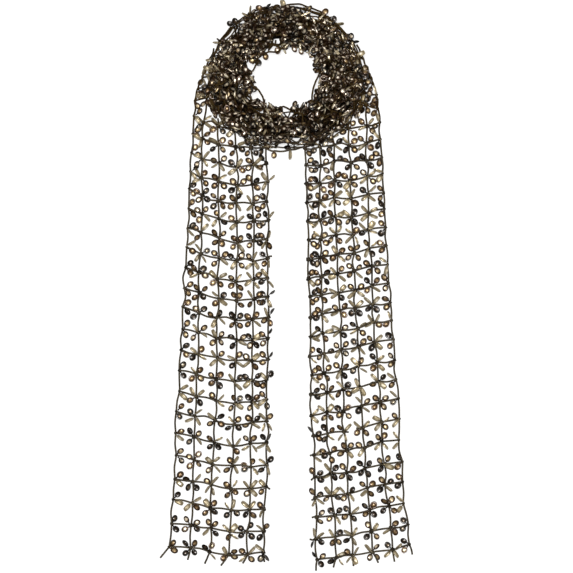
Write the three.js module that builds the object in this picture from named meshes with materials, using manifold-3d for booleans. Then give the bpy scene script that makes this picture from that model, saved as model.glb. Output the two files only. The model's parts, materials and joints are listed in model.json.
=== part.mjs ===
// A skinny scarf of knotted cord net, wound once round a neck opening and laid flat.
// X runs across the scarf, Y along it towards the neck ring, Z up from the surface it lies on.
// All sizes are in millimetres.
import * as THREE from 'three';
import { mergeVertices } from 'three/addons/utils/BufferGeometryUtils.js';
import Module from 'manifold-3d';

const wasm = await Module();
wasm.setup();

// ---- driving sizes -------------------------------------------------------------------

const CORD = 1.9;            // width of a crocheted cord
const WALL = 2.0;            // thickness of the net where it lies as one layer
const GAP = 0.3;             // between neighbouring pieces
const KNOT_REACH = 3.2;      // how far a knot thickens its cords
const KNOT_BULGE = 1.1;      // how far a knot stands out of the selvedge
const FLARE_CELL = 13;       // width of the cells drawn in beside the ring
const LAST_WARP = 5;         // a tail has six warp cords, 0 to 5 from its left selvedge
const TUCK = 12;             // how far in from the opening's edge the hidden part of a tail starts
const CUT = 1;               // how far a cutter goes past the wall that it cuts

// The neck ring, seen from above: a flattened oval round a rounder-cornered opening.
const RING = {
  x: -0.5,
  y: 222,
  halfWidth: 85,
  halfAbove: 79.4,
  halfBelow: 76,
  powerAbove: 2.0,           // 2 is an ellipse, more is squarer
  powerBelow: 2.4,
  openingHalfWidth: 34,
  openingHalfHeight: 31,
  openingPower: 3.0,
};

// The bunched layers inside the ring, in section: three layers at each edge, then a dome.
// A layer's edge is upright as far as 'crease' below the next, which it meets in a groove.
const LAYERS = {
  count: 3, height: 2.5, crease: 0.6, groove: 1.2, shelf: 5.2, power: 2.3, steps: 32, domeSteps: 7,
};
const CROWN = { front: 20.5, back: 17.5 };   // top of the hidden layers, front and back

// Each warp cord of a tail, from the left selvedge to the right one: where its first,
// middle and last knots are, and how far its cut end reaches from the last. A parabola
// through the three gives the knots between. 'flare' is the outermost cord beside the ring,
// with the angles below its start where its cross cords are.
const LEFT_TAIL = {
  cells: 20,
  firstRow: -1,
  flare: { side: -1, start: 6, rate: 0.72, cords: [20, 12.5, 5.5], end: 24, steps: 8 },
  warps: [
    { firstX: -99.6, firstY: 162.9, midX: -111.3, midY: -43.7, lastX: -123.0, lastY: -275.8, endX: -9.6, endY: -11.7 },
    { firstX: -88.9, firstY: 156.6, midX: -94.3, midY: -49.0, lastX: -102.8, lastY: -278.0, endX: -3.2, endY: -12.8 },
    { firstX: -71.9, firstY: 152.3, midX: -74.0, midY: -54.3, lastX: -82.5, lastY: -281.2, endX: -5.3, endY: -12.8 },
    { firstX: -53.8, firstY: 148.0, midX: -53.8, midY: -57.5, lastX: -61.2, lastY: -284.4, endX: -8.5, endY: -11.7 },
    { firstX: -36.7, firstY: 149.1, midX: -35.7, midY: -56.4, lastX: -42.1, lastY: -284.4, endX: -5.3, endY: -9.6 },
    { firstX: -21.8, firstY: 150.2, midX: -19.7, midY: -54.3, lastX: -25.0, lastY: -283.3, endX: 1.1, endY: -10.7 },
  ],
};
const RIGHT_TAIL = {
  cells: 22,
  firstRow: 0,
  flare: { side: 1, start: 9, rate: 0.66, cords: [27, 19.5, 12.5, 6], end: 31, steps: 8 },
  brokenCord: { row: 16, warp: 2, at: 0.45, width: 8 },
  warps: [
    { firstX: 19.9, firstY: 167.5, midX: 25.0, midY: -52.2, lastX: 32.5, lastY: -289.7, endX: -1.1, endY: -11.7 },
    { firstX: 35.6, firstY: 168.2, midX: 39.4, midY: -50.1, lastX: 53.8, lastY: -287.6, endX: -3.2, endY: -10.7 },
    { firstX: 49.5, firstY: 171.1, midX: 57.0, midY: -46.9, lastX: 70.3, lastY: -286.5, endX: 1.1, endY: -11.7 },
    { firstX: 66.6, firstY: 168.7, midX: 75.1, midY: -43.7, lastX: 91.1, lastY: -282.2, endX: 6.4, endY: -11.7 },
    { firstX: 85.1, firstY: 171.0, midX: 93.2, midY: -38.3, lastX: 112.4, lastY: -279.0, endX: 2.1, endY: -12.8 },
    { firstX: 97.2, firstY: 174.8, midX: 111.3, midY: -36.2, lastX: 129.4, lastY: -274.8, endX: 3.2, endY: -10.7 },
  ],
};

// Cut cord ends: they start at a knot of the last cross cord and lie just above the surface.
const END = { rootHalf: 0.95, tipHalf: 0.6, lift: 0.4, top: 1.7, tipTop: 1.3 };

// The stretches of net that show on the ring. Angles are round the ring, from +X towards +Y;
// 'low' and 'high' are how far up the dome from its outer edge a stretch starts and stops.
const EDGE = 7;              // degrees of the dome left bare along the ring's edges
const CREST = 84;            // where the outer and inner stretches of the back part
const SEAM = 2.6;            // degrees of the dome between two stretches

// A stretch's pleats: fine ones across it and a broad wave under them, as shares of the
// height, drawn down between the rows of knots.
const PLEAT = {
  height: 3.0, samples: 4, fine: 0.35, broad: 0.15, broadCount: 0.45, broadTurn: 0.2,
  knots: 20.6, knotShare: 0.25, knotSlant: 2.5,
};
const FRONT = { from: 162, to: 378, pleats: 5, twist: 1.6, steps: 27, hidesFrom: 214, hidesTo: 326 };
const BACK = { pleats: 3, twist: 0.7, steps: 15 };
const SHOULDER = { pleats: 3, twist: 0.6, steps: 16, leftFrom: 203, rightFrom: -23, lap: 20 };

// ---- materials -----------------------------------------------------------------------

const netCord = new THREE.MeshStandardMaterial({ color: 0x2f2c26, roughness: 0.8, metalness: 0 });
const sequinnedNet = new THREE.MeshStandardMaterial({ color: 0x4a3d24, roughness: 0.45, metalness: 0.3 });

const scarf = new THREE.Group();

function addPiece(name, geometry, material) {
  const mesh = new THREE.Mesh(geometry, material);
  mesh.name = name;
  scarf.add(mesh);
}

// ---- helpers -------------------------------------------------------------------------

const mix = (a, b, t) => a + (b - a) * t;
const radians = THREE.MathUtils.degToRad;

function smooth(edge0, edge1, x) {
  const t = THREE.MathUtils.clamp((x - edge0) / (edge1 - edge0), 0, 1);
  return t * t * (3 - 2 * t);
}

function solidOf(geometry) {
  const bare = geometry.clone();
  bare.deleteAttribute('normal');
  bare.deleteAttribute('uv');
  const merged = mergeVertices(bare, 1e-4);
  return new wasm.Manifold(new wasm.Mesh({
    numProp: 3,
    vertProperties: merged.attributes.position.array,
    triVerts: new Uint32Array(merged.index.array),
  }));
}

function geometryOf(solid) {
  const mesh = solid.getMesh();
  const geometry = new THREE.BufferGeometry();
  geometry.setAttribute('position', new THREE.BufferAttribute(mesh.vertProperties, 3));
  geometry.setIndex(new THREE.BufferAttribute(mesh.triVerts, 1));
  geometry.computeVertexNormals();
  return geometry;
}

function prisms(outlines, bottom, top) {
  const shapes = outlines.map((outline) => new THREE.Shape(outline));
  const geometry = new THREE.ExtrudeGeometry(shapes, { depth: top - bottom, bevelEnabled: false });
  geometry.translate(0, 0, bottom);
  return geometry;
}

// A closed body from a grid of points on its outside: 'rows' sections of equal length.
// A ring's sections close on each other, and a strip's first and last are capped.
function loft(sections, ring) {
  const count = sections[0].length;
  const positions = sections.flat().flatMap((p) => [p.x, p.y, p.z]);
  const indices = [];
  const bands = ring ? sections.length : sections.length - 1;
  for (let i = 0; i < bands; i++) {
    const here = i * count;
    const next = ((i + 1) % sections.length) * count;
    for (let j = 0; j < count; j++) {
      const k = (j + 1) % count;
      indices.push(here + j, next + j, next + k, here + j, next + k, here + k);
    }
  }
  if (!ring) {
    // a strip's section is its top run and then its bottom run back, so the caps are ladders
    for (const [base, flip] of [[0, false], [(sections.length - 1) * count, true]]) {
      for (let j = 0; j < count / 2 - 1; j++) {
        const quad = [base + j, base + j + 1, base + count - 2 - j, base + count - 1 - j];
        if (flip) quad.reverse();
        indices.push(quad[0], quad[1], quad[2], quad[0], quad[2], quad[3]);
      }
    }
  }
  const geometry = new THREE.BufferGeometry();
  geometry.setAttribute('position', new THREE.Float32BufferAttribute(positions, 3));
  geometry.setIndex(indices);
  geometry.computeVertexNormals();
  return geometry;
}

// ---- the ring in plan and in section -------------------------------------------------

function ovalRadius(angle, halfX, halfY, power) {
  const c = Math.abs(Math.cos(angle)) / halfX;
  const s = Math.abs(Math.sin(angle)) / halfY;
  return (c ** power + s ** power) ** (-1 / power);
}

function outerRadius(angle) {
  const above = Math.sin(angle) > 0;
  return ovalRadius(angle, RING.halfWidth, above ? RING.halfAbove : RING.halfBelow,
    above ? RING.powerAbove : RING.powerBelow);
}

function innerRadius(angle) {
  return ovalRadius(angle, RING.openingHalfWidth, RING.openingHalfHeight, RING.openingPower);
}

function ringPoint(angle, radius, z) {
  return new THREE.Vector3(RING.x + radius * Math.cos(angle), RING.y + radius * Math.sin(angle), z);
}

const shelfHeight = LAYERS.count * LAYERS.height;

// A point of the dome, 'climb' radians up from its outer edge, moved out by 'lift'.
function domePoint(angle, climb, lift) {
  const outer = outerRadius(angle) - LAYERS.shelf;
  const inner = innerRadius(angle) + LAYERS.shelf;
  const half = (outer - inner) / 2;
  const rise = mix(CROWN.back, CROWN.front, (1 - Math.sin(angle)) / 2) - shelfHeight;
  const c = Math.cos(climb);
  const along = Math.sign(c) * Math.abs(c) ** (2 / LAYERS.power);
  const up = Math.sin(climb) ** (2 / LAYERS.power);
  const normal = new THREE.Vector2(
    Math.sign(along) * Math.abs(along) ** (LAYERS.power - 1) / half,
    up ** (LAYERS.power - 1) / rise,
  ).normalize();
  const radius = (outer + inner) / 2 + half * along + normal.x * lift;
  return ringPoint(angle, radius, shelfHeight + rise * up + normal.y * lift);
}

// ---- the hidden layers ---------------------------------------------------------------

function hiddenLayers() {
  const sections = [];
  for (let i = 0; i < LAYERS.steps; i++) {
    const angle = (i / LAYERS.steps) * Math.PI * 2;
    const edge = (radius, inward) => {
      const points = [];
      for (let layer = 0; layer < LAYERS.count; layer++) {
        const low = layer * LAYERS.height;
        points.push(ringPoint(angle, radius, low));
        points.push(ringPoint(angle, radius, low + LAYERS.height - LAYERS.crease));
        if (layer === LAYERS.count - 1) break;
        const grooveHeight = low + LAYERS.height - LAYERS.crease / 2;
        points.push(ringPoint(angle, radius + inward * LAYERS.groove, grooveHeight));
      }
      return points;
    };
    const dome = [];
    for (let j = 0; j <= LAYERS.domeSteps; j++) {
      dome.push(domePoint(angle, (j / LAYERS.domeSteps) * Math.PI, 0));
    }
    sections.push([
      ...edge(outerRadius(angle), -1),
      ...dome,
      ...edge(innerRadius(angle), 1).reverse(),
    ]);
  }
  return loft(sections, true);
}

// ---- the stretches of bunched net on the ring ----------------------------------------

// A pleated wall over the dome. 'start' and 'stop' give its ends' angles in degrees for a
// place across it, 'low' and 'high' its edges on the dome for an angle.
function stretch({ start, stop, low, high, pleats, twist, steps }) {
  const across = pleats * PLEAT.samples;
  const sections = [];
  for (let i = 0; i <= steps; i++) {
    const u = i / steps;
    const top = [];
    const bottom = [];
    for (let j = 0; j <= across; j++) {
      const v = j / across;
      const degrees = mix(start(v), stop(v), u);
      const angle = radians(degrees);
      const climb = radians(mix(low(degrees), high(degrees), v));
      const run = angle * (outerRadius(angle) + innerRadius(angle)) / 2;
      const alongKnots = Math.cos((run / PLEAT.knots + v * PLEAT.knotSlant) * Math.PI * 2);
      const knots = 1 - PLEAT.knotShare + PLEAT.knotShare * alongKnots;
      const fine = Math.cos((pleats * v + twist * u) * Math.PI * 2);
      const broad = Math.cos((PLEAT.broadCount * pleats * v - twist * u + PLEAT.broadTurn) * Math.PI * 2);
      const pleat = PLEAT.fine + PLEAT.broad - PLEAT.fine * fine - PLEAT.broad * broad;
      const under = GAP + PLEAT.height * pleat * knots;
      top.push(domePoint(angle, climb, under + WALL));
      bottom.push(domePoint(angle, climb, under));
    }
    sections.push([...top, ...bottom.reverse()]);
  }
  return loft(sections, false);
}

// Where the front stretch's outer edge is on the dome: it hides the ring's edge below, and
// leaves the outside to the shoulders above.
function frontEdge(degrees) {
  const left = smooth(FRONT.hidesFrom, FRONT.from, degrees);
  const right = smooth(FRONT.hidesTo, FRONT.to, degrees);
  return mix(EDGE, CREST, Math.max(left, right));
}

function frontWrap() {
  return stretch({
    ...FRONT,
    start: () => FRONT.from,
    stop: () => FRONT.to,
    low: frontEdge,
    high: () => 180 - EDGE,
  });
}

function backNeck() {
  return stretch({
    ...BACK,
    start: () => FRONT.to - 360 + SEAM / 2,
    stop: () => FRONT.from - SEAM / 2,
    low: () => CREST + SEAM,
    high: () => 180 - EDGE,
  });
}

// The shoulders carry a tail's outer cords up round the outside of the ring. They meet at
// the top along a slanting seam, where one passes under the other.
function lapAngle(v) {
  return mix(90 + SHOULDER.lap, 90 - SHOULDER.lap, v);
}

function leftShoulder() {
  return stretch({
    ...SHOULDER,
    start: (v) => lapAngle(v) + SEAM / 4,
    stop: () => SHOULDER.leftFrom,
    low: () => EDGE,
    high: (degrees) => frontEdge(Math.max(degrees, FRONT.from)) - SEAM,
  });
}

function rightShoulder() {
  return stretch({
    ...SHOULDER,
    start: () => SHOULDER.rightFrom,
    stop: (v) => lapAngle(v) - SEAM / 4,
    low: () => EDGE,
    high: (degrees) => frontEdge(Math.min(degrees + 360, FRONT.to)) - SEAM,
  });
}

// ---- the tails -----------------------------------------------------------------------

function knot(tail, row, warp) {
  if (row < tail.firstRow) return flareKnot(tail, tail.firstRow - 1 - row, warp);
  const t = row / tail.cells;
  const w = tail.warps[warp];
  const first = (1 - t) * (1 - 2 * t);
  const mid = 4 * t * (1 - t);
  const last = t * (2 * t - 1);
  return new THREE.Vector2(
    first * w.firstX + mid * w.midX + last * w.lastX,
    first * w.firstY + mid * w.midY + last * w.lastY,
  );
}

// The hole between four knots: its sides half a cord in from the cords' middles, and its
// corners cut off by the knots.
function cellOutline(corners) {
  const centre = new THREE.Vector2();
  corners.forEach((corner) => centre.addScaledVector(corner, 1 / corners.length));
  const outline = [];
  corners.forEach((corner, i) => {
    const before = corners[(i + 3) % 4];
    const after = corners[(i + 1) % 4];
    for (const neighbour of [before, after]) {
      const along = neighbour.clone().sub(corner).normalize();
      const inward = new THREE.Vector2(-along.y, along.x);
      if (inward.dot(centre.clone().sub(corner)) < 0) inward.negate();
      outline.push(corner.clone().addScaledVector(along, KNOT_REACH).addScaledVector(inward, CORD / 2));
    }
  });
  return outline;
}

// The outermost cord leaves the ring's edge at 'flare.start' degrees above its middle and
// spreads from it on the way down. 'below' is the angle below that start.
function flarePoint(flare, below, inset) {
  const rise = flare.start - below;
  const angle = radians(flare.side > 0 ? rise : 180 - rise);
  return ringPoint(angle, outerRadius(angle) + flare.rate * below + inset, 0);
}

// Beside the ring the cross cords run straight in under it, with the warps a cell apart.
function flareKnot(tail, cord, warp) {
  const fromOutside = tail.flare.side > 0 ? LAST_WARP - warp : warp;
  const p = flarePoint(tail.flare, tail.flare.cords[cord], -fromOutside * FLARE_CELL);
  return new THREE.Vector2(p.x, p.y);
}

// A selvedge from the first row down to the last, half a cord outside its warp's middle,
// with a bulge at each knot. 'side' is -1 on the left and 1 on the right.
function selvedge(tail, warp, side) {
  const points = [];
  for (let row = Math.max(tail.firstRow, 0); row < tail.cells; row++) {
    const here = knot(tail, row, warp);
    for (const [step, out] of [[KNOT_REACH, CORD / 2], [0, CORD / 2 + KNOT_BULGE], [-KNOT_REACH, CORD / 2]]) {
      points.push(new THREE.Vector2(here.x + side * out, here.y + step));
    }
  }
  return points;
}

// Which side of a tail a warp is the selvedge of: -1 left, 1 right, 0 neither.
function selvedgeSide(warp) {
  if (warp === 0) return -1;
  return warp === LAST_WARP ? 1 : 0;
}

function tailNet(tail) {
  const last = tail.cells;
  const endGap = CORD / 2 + GAP;
  const widest = tail.flare.side < 0 ? 0 : LAST_WARP;
  const outer = selvedge(tail, widest, tail.flare.side);
  const inner = selvedge(tail, LAST_WARP - widest, -tail.flare.side);

  // along the spreading outer cord, from the ring's edge down to the first knot
  const flare = [];
  const firstKnot = knot(tail, tail.firstRow, widest);
  for (let i = 0; i <= tail.flare.steps; i++) {
    const below = mix(0, tail.flare.end, i / tail.flare.steps);
    const p = flarePoint(tail.flare, below, CORD / 2);
    if (p.y > firstKnot.y + KNOT_REACH) flare.push(new THREE.Vector2(p.x, p.y));
  }
  const end = [];
  for (let warp = 0; warp <= LAST_WARP; warp++) {
    const p = knot(tail, last, warp);
    end.push(new THREE.Vector2(p.x + selvedgeSide(warp) * CORD / 2, p.y + endGap));
  }
  if (tail.flare.side > 0) end.reverse();
  const hiddenTop = [
    new THREE.Vector2(
      knot(tail, 0, LAST_WARP - widest).x - tail.flare.side * CORD / 2,
      RING.y - RING.openingHalfHeight,
    ),
    new THREE.Vector2(RING.x + tail.flare.side * (RING.openingHalfWidth + TUCK), RING.y),
  ];
  const outline = [...flare, ...outer, ...end, ...inner.reverse(), ...hiddenTop];

  const cells = [];
  for (let row = tail.firstRow - tail.flare.cords.length; row < last; row++) {
    for (let warp = 0; warp < LAST_WARP; warp++) {
      const corners = [knot(tail, row, warp), knot(tail, row + 1, warp),
        knot(tail, row + 1, warp + 1), knot(tail, row, warp + 1)];
      // the last cells are open at the bottom, where the ends' strip closes them
      if (row === last - 1) corners.slice(1, 3).forEach((corner) => { corner.y -= 2 * KNOT_REACH; });
      const shown = corners.some((p) => {
        const angle = Math.atan2(p.y - RING.y, p.x - RING.x);
        return Math.hypot(p.x - RING.x, p.y - RING.y) > outerRadius(angle) + CORD;
      });
      if (shown) cells.push(cellOutline(corners));
    }
  }
  let net = solidOf(prisms([outline], 0, WALL))
    .subtract(solidOf(prisms(cells, -CUT, WALL + CUT)))
    .subtract(solidOf(prisms([ringOutline(GAP)], -CUT, WALL + CUT)));
  if (tail.brokenCord) net = net.subtract(solidOf(brokenPlace(tail)));
  return geometryOf(net);
}

function ringOutline(out) {
  const steps = 2 * LAYERS.steps;
  const points = [];
  for (let i = 0; i < steps; i++) {
    const angle = (i / steps) * Math.PI * 2;
    const p = ringPoint(angle, outerRadius(angle) + out, 0);
    points.push(new THREE.Vector2(p.x, p.y));
  }
  return points;
}

// A box over the place where one cross cord is worn through.
function brokenPlace(tail) {
  const { row, warp, at, width } = tail.brokenCord;
  const place = knot(tail, row, warp).lerp(knot(tail, row, warp + 1), at);
  const box = new THREE.BoxGeometry(width, 3 * CORD, WALL + 2 * CUT);
  box.translate(place.x, place.y, WALL / 2);
  return box;
}

// The last cross cord with the cut ends of the warps: one strip and six short strands.
function tailEnds(tail) {
  const knots = tail.warps.map((_, warp) => knot(tail, tail.cells, warp));
  const half = CORD / 2;
  const edge = (side) => knots.map((p, i) => new THREE.Vector2(p.x + selvedgeSide(i) * half, p.y + side * half));
  const strip = [...edge(-1), ...edge(1).reverse()];
  let piece = solidOf(prisms([strip], 0, WALL));
  tail.warps.forEach((warp, i) => {
    piece = piece.add(solidOf(strand(knots[i], new THREE.Vector2(warp.endX, warp.endY))));
  });
  return geometryOf(piece);
}

function strand(root, reach) {
  const tip = root.clone().add(reach);
  const side = new THREE.Vector2(-reach.y, reach.x).normalize();
  const section = (p, halfWidth, low, high) => [[-1, high], [1, high], [1, low], [-1, low]]
    .map(([s, z]) => new THREE.Vector3(p.x + s * side.x * halfWidth, p.y + s * side.y * halfWidth, z));
  return loft([
    section(root, END.rootHalf, END.lift, END.top),
    section(tip, END.tipHalf, END.lift, END.tipTop),
  ], false);
}

// ---- the scarf -----------------------------------------------------------------------

addPiece('left_tail_net', tailNet(LEFT_TAIL), netCord);
addPiece('right_tail_net', tailNet(RIGHT_TAIL), netCord);
addPiece('left_tail_ends', tailEnds(LEFT_TAIL), netCord);
addPiece('right_tail_ends', tailEnds(RIGHT_TAIL), netCord);
addPiece('front_wrap_net', frontWrap(), sequinnedNet);
addPiece('left_shoulder_net', leftShoulder(), sequinnedNet);
addPiece('right_shoulder_net', rightShoulder(), sequinnedNet);
addPiece('back_neck_net', backNeck(), sequinnedNet);
addPiece('hidden_layers', hiddenLayers(), sequinnedNet);

export default scarf;
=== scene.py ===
"""A skinny scarf of knotted cord net with cupped sequins, wound once and laid flat.

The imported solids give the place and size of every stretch. Over them go the real cords of
the net, their knots and the sequins sewn round each knot. Lengths below are in millimetres
unless a comment says metres, and MM turns them into Blender's metres.
"""
import json
import math
import random

import bpy
import numpy as np
from mathutils import Matrix, Vector, noise
from mathutils.bvhtree import BVHTree

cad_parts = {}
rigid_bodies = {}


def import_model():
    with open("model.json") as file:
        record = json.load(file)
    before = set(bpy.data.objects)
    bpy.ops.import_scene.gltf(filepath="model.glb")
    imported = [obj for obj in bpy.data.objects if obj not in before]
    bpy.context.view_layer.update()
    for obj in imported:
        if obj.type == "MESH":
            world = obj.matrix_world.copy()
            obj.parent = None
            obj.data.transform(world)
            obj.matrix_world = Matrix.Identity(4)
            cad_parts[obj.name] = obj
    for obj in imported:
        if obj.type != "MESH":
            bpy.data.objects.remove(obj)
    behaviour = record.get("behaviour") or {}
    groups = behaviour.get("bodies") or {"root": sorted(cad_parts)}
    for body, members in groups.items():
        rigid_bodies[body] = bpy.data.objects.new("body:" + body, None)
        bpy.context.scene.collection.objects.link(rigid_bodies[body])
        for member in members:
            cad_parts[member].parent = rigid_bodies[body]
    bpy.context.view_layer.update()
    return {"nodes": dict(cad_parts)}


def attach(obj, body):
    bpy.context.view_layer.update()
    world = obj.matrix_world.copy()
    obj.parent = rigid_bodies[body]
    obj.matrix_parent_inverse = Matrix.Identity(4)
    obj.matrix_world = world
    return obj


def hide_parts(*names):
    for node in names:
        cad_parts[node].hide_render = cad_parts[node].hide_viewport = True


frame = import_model()
MM = 0.001

# ---- driving sizes -------------------------------------------------------------------

CORD_RADIUS = 1.0            # crocheted cord
RING_CORD_RADIUS = 0.8       # drawn thinner in the bunch
KNOT_RADIUS = 2.3
KNOT_SQUASH = 0.72           # its height as a share of its width
OUTER_LUMP, FLARE_LUMP, RING_LUMP = 0.75, 0.6, 0.7   # sizes of the smaller knots
SEQUIN_LENGTH = 7.9          # of the cup along its thread, without its tab
SEQUIN_WIDTH = 6.7
SEQUIN_DEPTH = 1.7           # how deep the cup is
SEQUIN_WALL = 0.4            # how much of its radius the cup's wall takes
WALL_DROP, MIDDLE_DROP = 0.7, 0.3   # shares of the depth in the wall and in the middle
SEQUIN_SIDES = 14
SEQUIN_REACH = 7.0           # from a knot's middle to the middle of its sequin
TAB_WIDTH = 2.0
FILM = 0.2                   # thickness of the pressed film
CLEARANCE = 0.15             # lowest point of a cord, knot or sequin over the surface
CORD_HEIGHT = CORD_RADIUS + CLEARANCE + 0.05
KNOT_HEIGHT = CORD_HEIGHT + 0.3
WARPS = 6                    # warp cords of the net
CELL = 20.6                  # from one knot to the next along a warp
TUCK = 8.0                   # how far a tail's warps go in under the ring
SWAY, LIFT = 0.8, 0.1        # how far a cord wanders between knots, sideways and up
LOOSE = 1.2                  # how far a tail's knots are out of place
OUTER_LOOSE = (0.5, 2.2)     # the same along the outer selvedge, first and last
LOOSER_ROWS = (8, 18)        # rows over which that grows

# How often each finish comes on a string of sequins, and how light or dark their film is. The
# pale finish is the film lit pale by painted reflection of the white room, on sequins that
# mostly stand on edge.
FINISHES = (("bronze", 0.43), ("black", 0.23), ("pale", 0.34))
TONES = (0.05, 0.8)
PALE_STRETCH = (1.05, 1.25)  # the pale ones are drawn longer and narrower
PALE_FOLD = (0.8, 1.0)
PALE_REACH = 0.94
REACHES = (0.86, 1.14)       # how much the thread's length differs from one to the next
LENGTHS = (0.92, 1.08)       # and the sequin's size
TILTS = {"bronze": (5, 42), "black": (0, 38), "pale": (48, 74)}   # degrees about the thread
PALE_LYING = (20, 45)        # tilt of the pale ones that aren't on edge
PALE_ON_EDGE = 0.85
FACE_DOWN = 0.35             # share of sequins with the cup's back up
SEQUIN_POWERS = (("bronze", 2.0), ("black", 2.0), ("pale", 4.5))
DIAGONALS = (45, 135, 225, 315)
WANDER = 11                  # degrees that a sequin's heading is out by
STEEP = 64                   # heading of the sequins outside an inner selvedge
STEEP_WANDER = 9
OUTSIDE_SHARE = (0.2, 0.65)  # how many of those there are, at the ring and at the end
OUTSIDE_ON_EDGE = 0.6        # share of those that stand on edge
ON_EDGE = 72                 # and how steep
MISSING = 0.02               # share of a tail's sequins that have come off

# The ring in plan, about the middle of its opening.
RING_X, RING_Y = -0.5, 222.0
RING_HALF_WIDTH, RING_HALF_ABOVE, RING_HALF_BELOW = 85.0, 79.4, 76.0
OPENING_HALF_WIDTH, OPENING_HALF_HEIGHT = 34.0, 31.0
RING_POWER_ABOVE, RING_POWER_BELOW, OPENING_POWER = 2.0, 2.4, 3.0   # 2 is a true oval
SECTION_MIDDLE, SECTION_RISE = 5.0, 17.0
RAY = 60.0                   # how far out a ray towards the ring's section starts
BUNDLE_INSIDE, BUNDLE_OUTSIDE = 12.0, 13.0
BUNDLE_HEIGHT = 0.72
RIDGE_TURNS, RIDGE_ROWS, RIDGE_STEP = 9, 26, 2.2   # how close its packed cords lie
RIDGE_PUSH, RIDGE_RISE = 1.4, 1.5
OUTLINE_MARGIN = 4.0         # how far in from the outline the sequins of the bunch stay
LOOP_LEAN = (0.1, 0.5)       # how much of a loop of slack cord goes sideways, not down
RING_PETALS = 5              # sequins that show round each knot of the bunch
RING_STAND = (-0.2, 1.3)     # how steeply their threads leave its surface, as a slope
RING_SINK = (-0.5, 3.0)      # how deep in the bunch their threads start
RING_WANDER, RING_NOD = 28, 20   # degrees that they are out by
RING_GLINTING = 0.7            # share of them painted bright, up to near white, as glints of the lights
# the glints' tones, and the plain tones of the rest
GLINT_TONES, PLAIN_TONES = (0.85, 1.4), (0.2, 0.85)
RING_CRUSHED = 0.45          # share of them that is crushed narrow
# the last number of each line is how far in the painted shade of the sequins' rim reaches
CRUSHED_TURN, CRUSHED_WIDTHS, CRUSHED_RIM_SHADE = 50, (0.2, 0.5), 0.8
OPEN_TURN, OPEN_WIDTHS, OPEN_RIM_SHADES = 75, (0.7, 1.0), (0.8, 1.6)

# Angles round the ring are in degrees, from +X towards +Y. The knots of neighbouring rows
# are this far apart at the outer edge.
ROW_TURN = 14.4
FRONT_ENDS = (162, 378)
FRONT_HIDES = (214, 326)
CREST = 84                   # over the section, where outer and inner stretches part
FLOOR_EDGE = 3               # over the section, where the outermost cord lies
TOP_EDGE, UNDER_EDGE = 172, 168   # and where the two layers end at the opening
TOP_DEPTH, UNDER_DEPTH = 2.0, 6.5
TOP_SHARE, SHOULDER_SHARE, UNDER_SHARE = 1.0, 0.95, 0.9   # of their sequins are there
LEFT_ROWS = (203, 188, 175, 164, 151, 135, 121, 107, 91)
RIGHT_ROWS = (88, 75, 60, 46, 28, 13, 1, -10, -22)
FRONT_WARPS = (0.0, 0.06, 0.2, 0.36, 0.52, 0.68, 0.84, 0.98)
FRONT_UNDER_WARPS = (0.12, 0.28, 0.44, 0.6, 0.76, 0.92)
BACK_WARPS = (0.03, 0.25, 0.45, 0.65, 0.85, 1.0)
BACK_UNDER_WARPS = (0.15, 0.4, 0.65, 0.9)
SHOULDER_WARPS = (0.08, 0.32, 0.47, 0.6, 0.75, 0.92)
SHOULDER_UNDER_WARPS = (0.55, 0.8, 0.97)
TAUT_WARPS = 3               # the outermost ones, which run straight along the outline
TAUT_DEPTH, TAUT_SWAY = 0.4, 0.4
RING_SWAY, RING_LIFT = 0.8, 0.8
# How far a knot of the bunch is out of place: degrees round the ring, degrees over the
# section, and mm deep.
RING_LOOSE = (2.6, 2.5, 1.0)
EDGE_LOOSE = (1.0, 1.0, 0.3)

# Places on the ring where only bare cords show: X, Y and radius.
BARE_PLACES = (
    (-61.0, 270.0, 9.0), (-54.0, 278.0, 6.0), (30.0, 291.0, 7.0), (57.0, 275.0, 7.0),
    (12.0, 297.0, 5.0), (-77.0, 247.0, 6.0),
)

# Sequins on their own at the edges of the ring: X and Y of the middle, heading of the
# thread, finish, how steep, and height.
EDGE_PETALS = (
    (-9.3, 250.0, -80, "bronze", 8, 8.0), (-22.4, 245.1, -70, "bronze", 12, 8.0),
    (-29.5, 237.4, -45, "black", 5, 9.0), (-36.5, 240.2, -125, "bronze", 0, 10.0),
    (30.4, 235.4, 195, "black", 10, 9.0), (31.4, 230.0, 165, "bronze", 40, 9.0),
    (12.0, 191.0, 95, "black", 72, 7.0), (20.8, 194.3, 78, "bronze", 70, 8.0),
    (-13.3, 140.6, -100, "bronze", 10, 2.5), (3.7, 140.6, -80, "pale", 60, 2.5),
    (-28.0, 188.5, 70, "bronze", 15, 9.0), (-31.0, 196.0, 20, "black", 10, 9.0),
    (-34.2, 209.5, 40, "black", 20, 12.0), (-39.0, 208.5, 100, "bronze", 30, 12.0),
    (33.5, 206.5, 150, "black", 15, 10.0),
)

# Sequins that stand out from the crown of the ring: row, heading, finish, and how steep.
CROWN_PETALS = (
    (135, 144, "black", 10), (135, 90, "black", 20), (151, 176, "pale", 70),
    (121, 158, "pale", 66), (121, 92, "pale", 80), (107, 150, "bronze", 15),
    (107, 55, "black", 78), (91, 100, "pale", 20), (75, 35, "bronze", 50),
    (60, 45, "bronze", 20), (60, -12, "bronze", 35), (46, 92, "black", 5),
    (46, 20, "pale", 74), (28, 72, "black", 15), (28, 4, "black", 76),
    (13, 30, "pale", 40), (164, 200, "pale", 60), (175, 150, "pale", 35),
)

CROWN_INSET = 4.0            # how far in from the second cord their knots are

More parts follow.
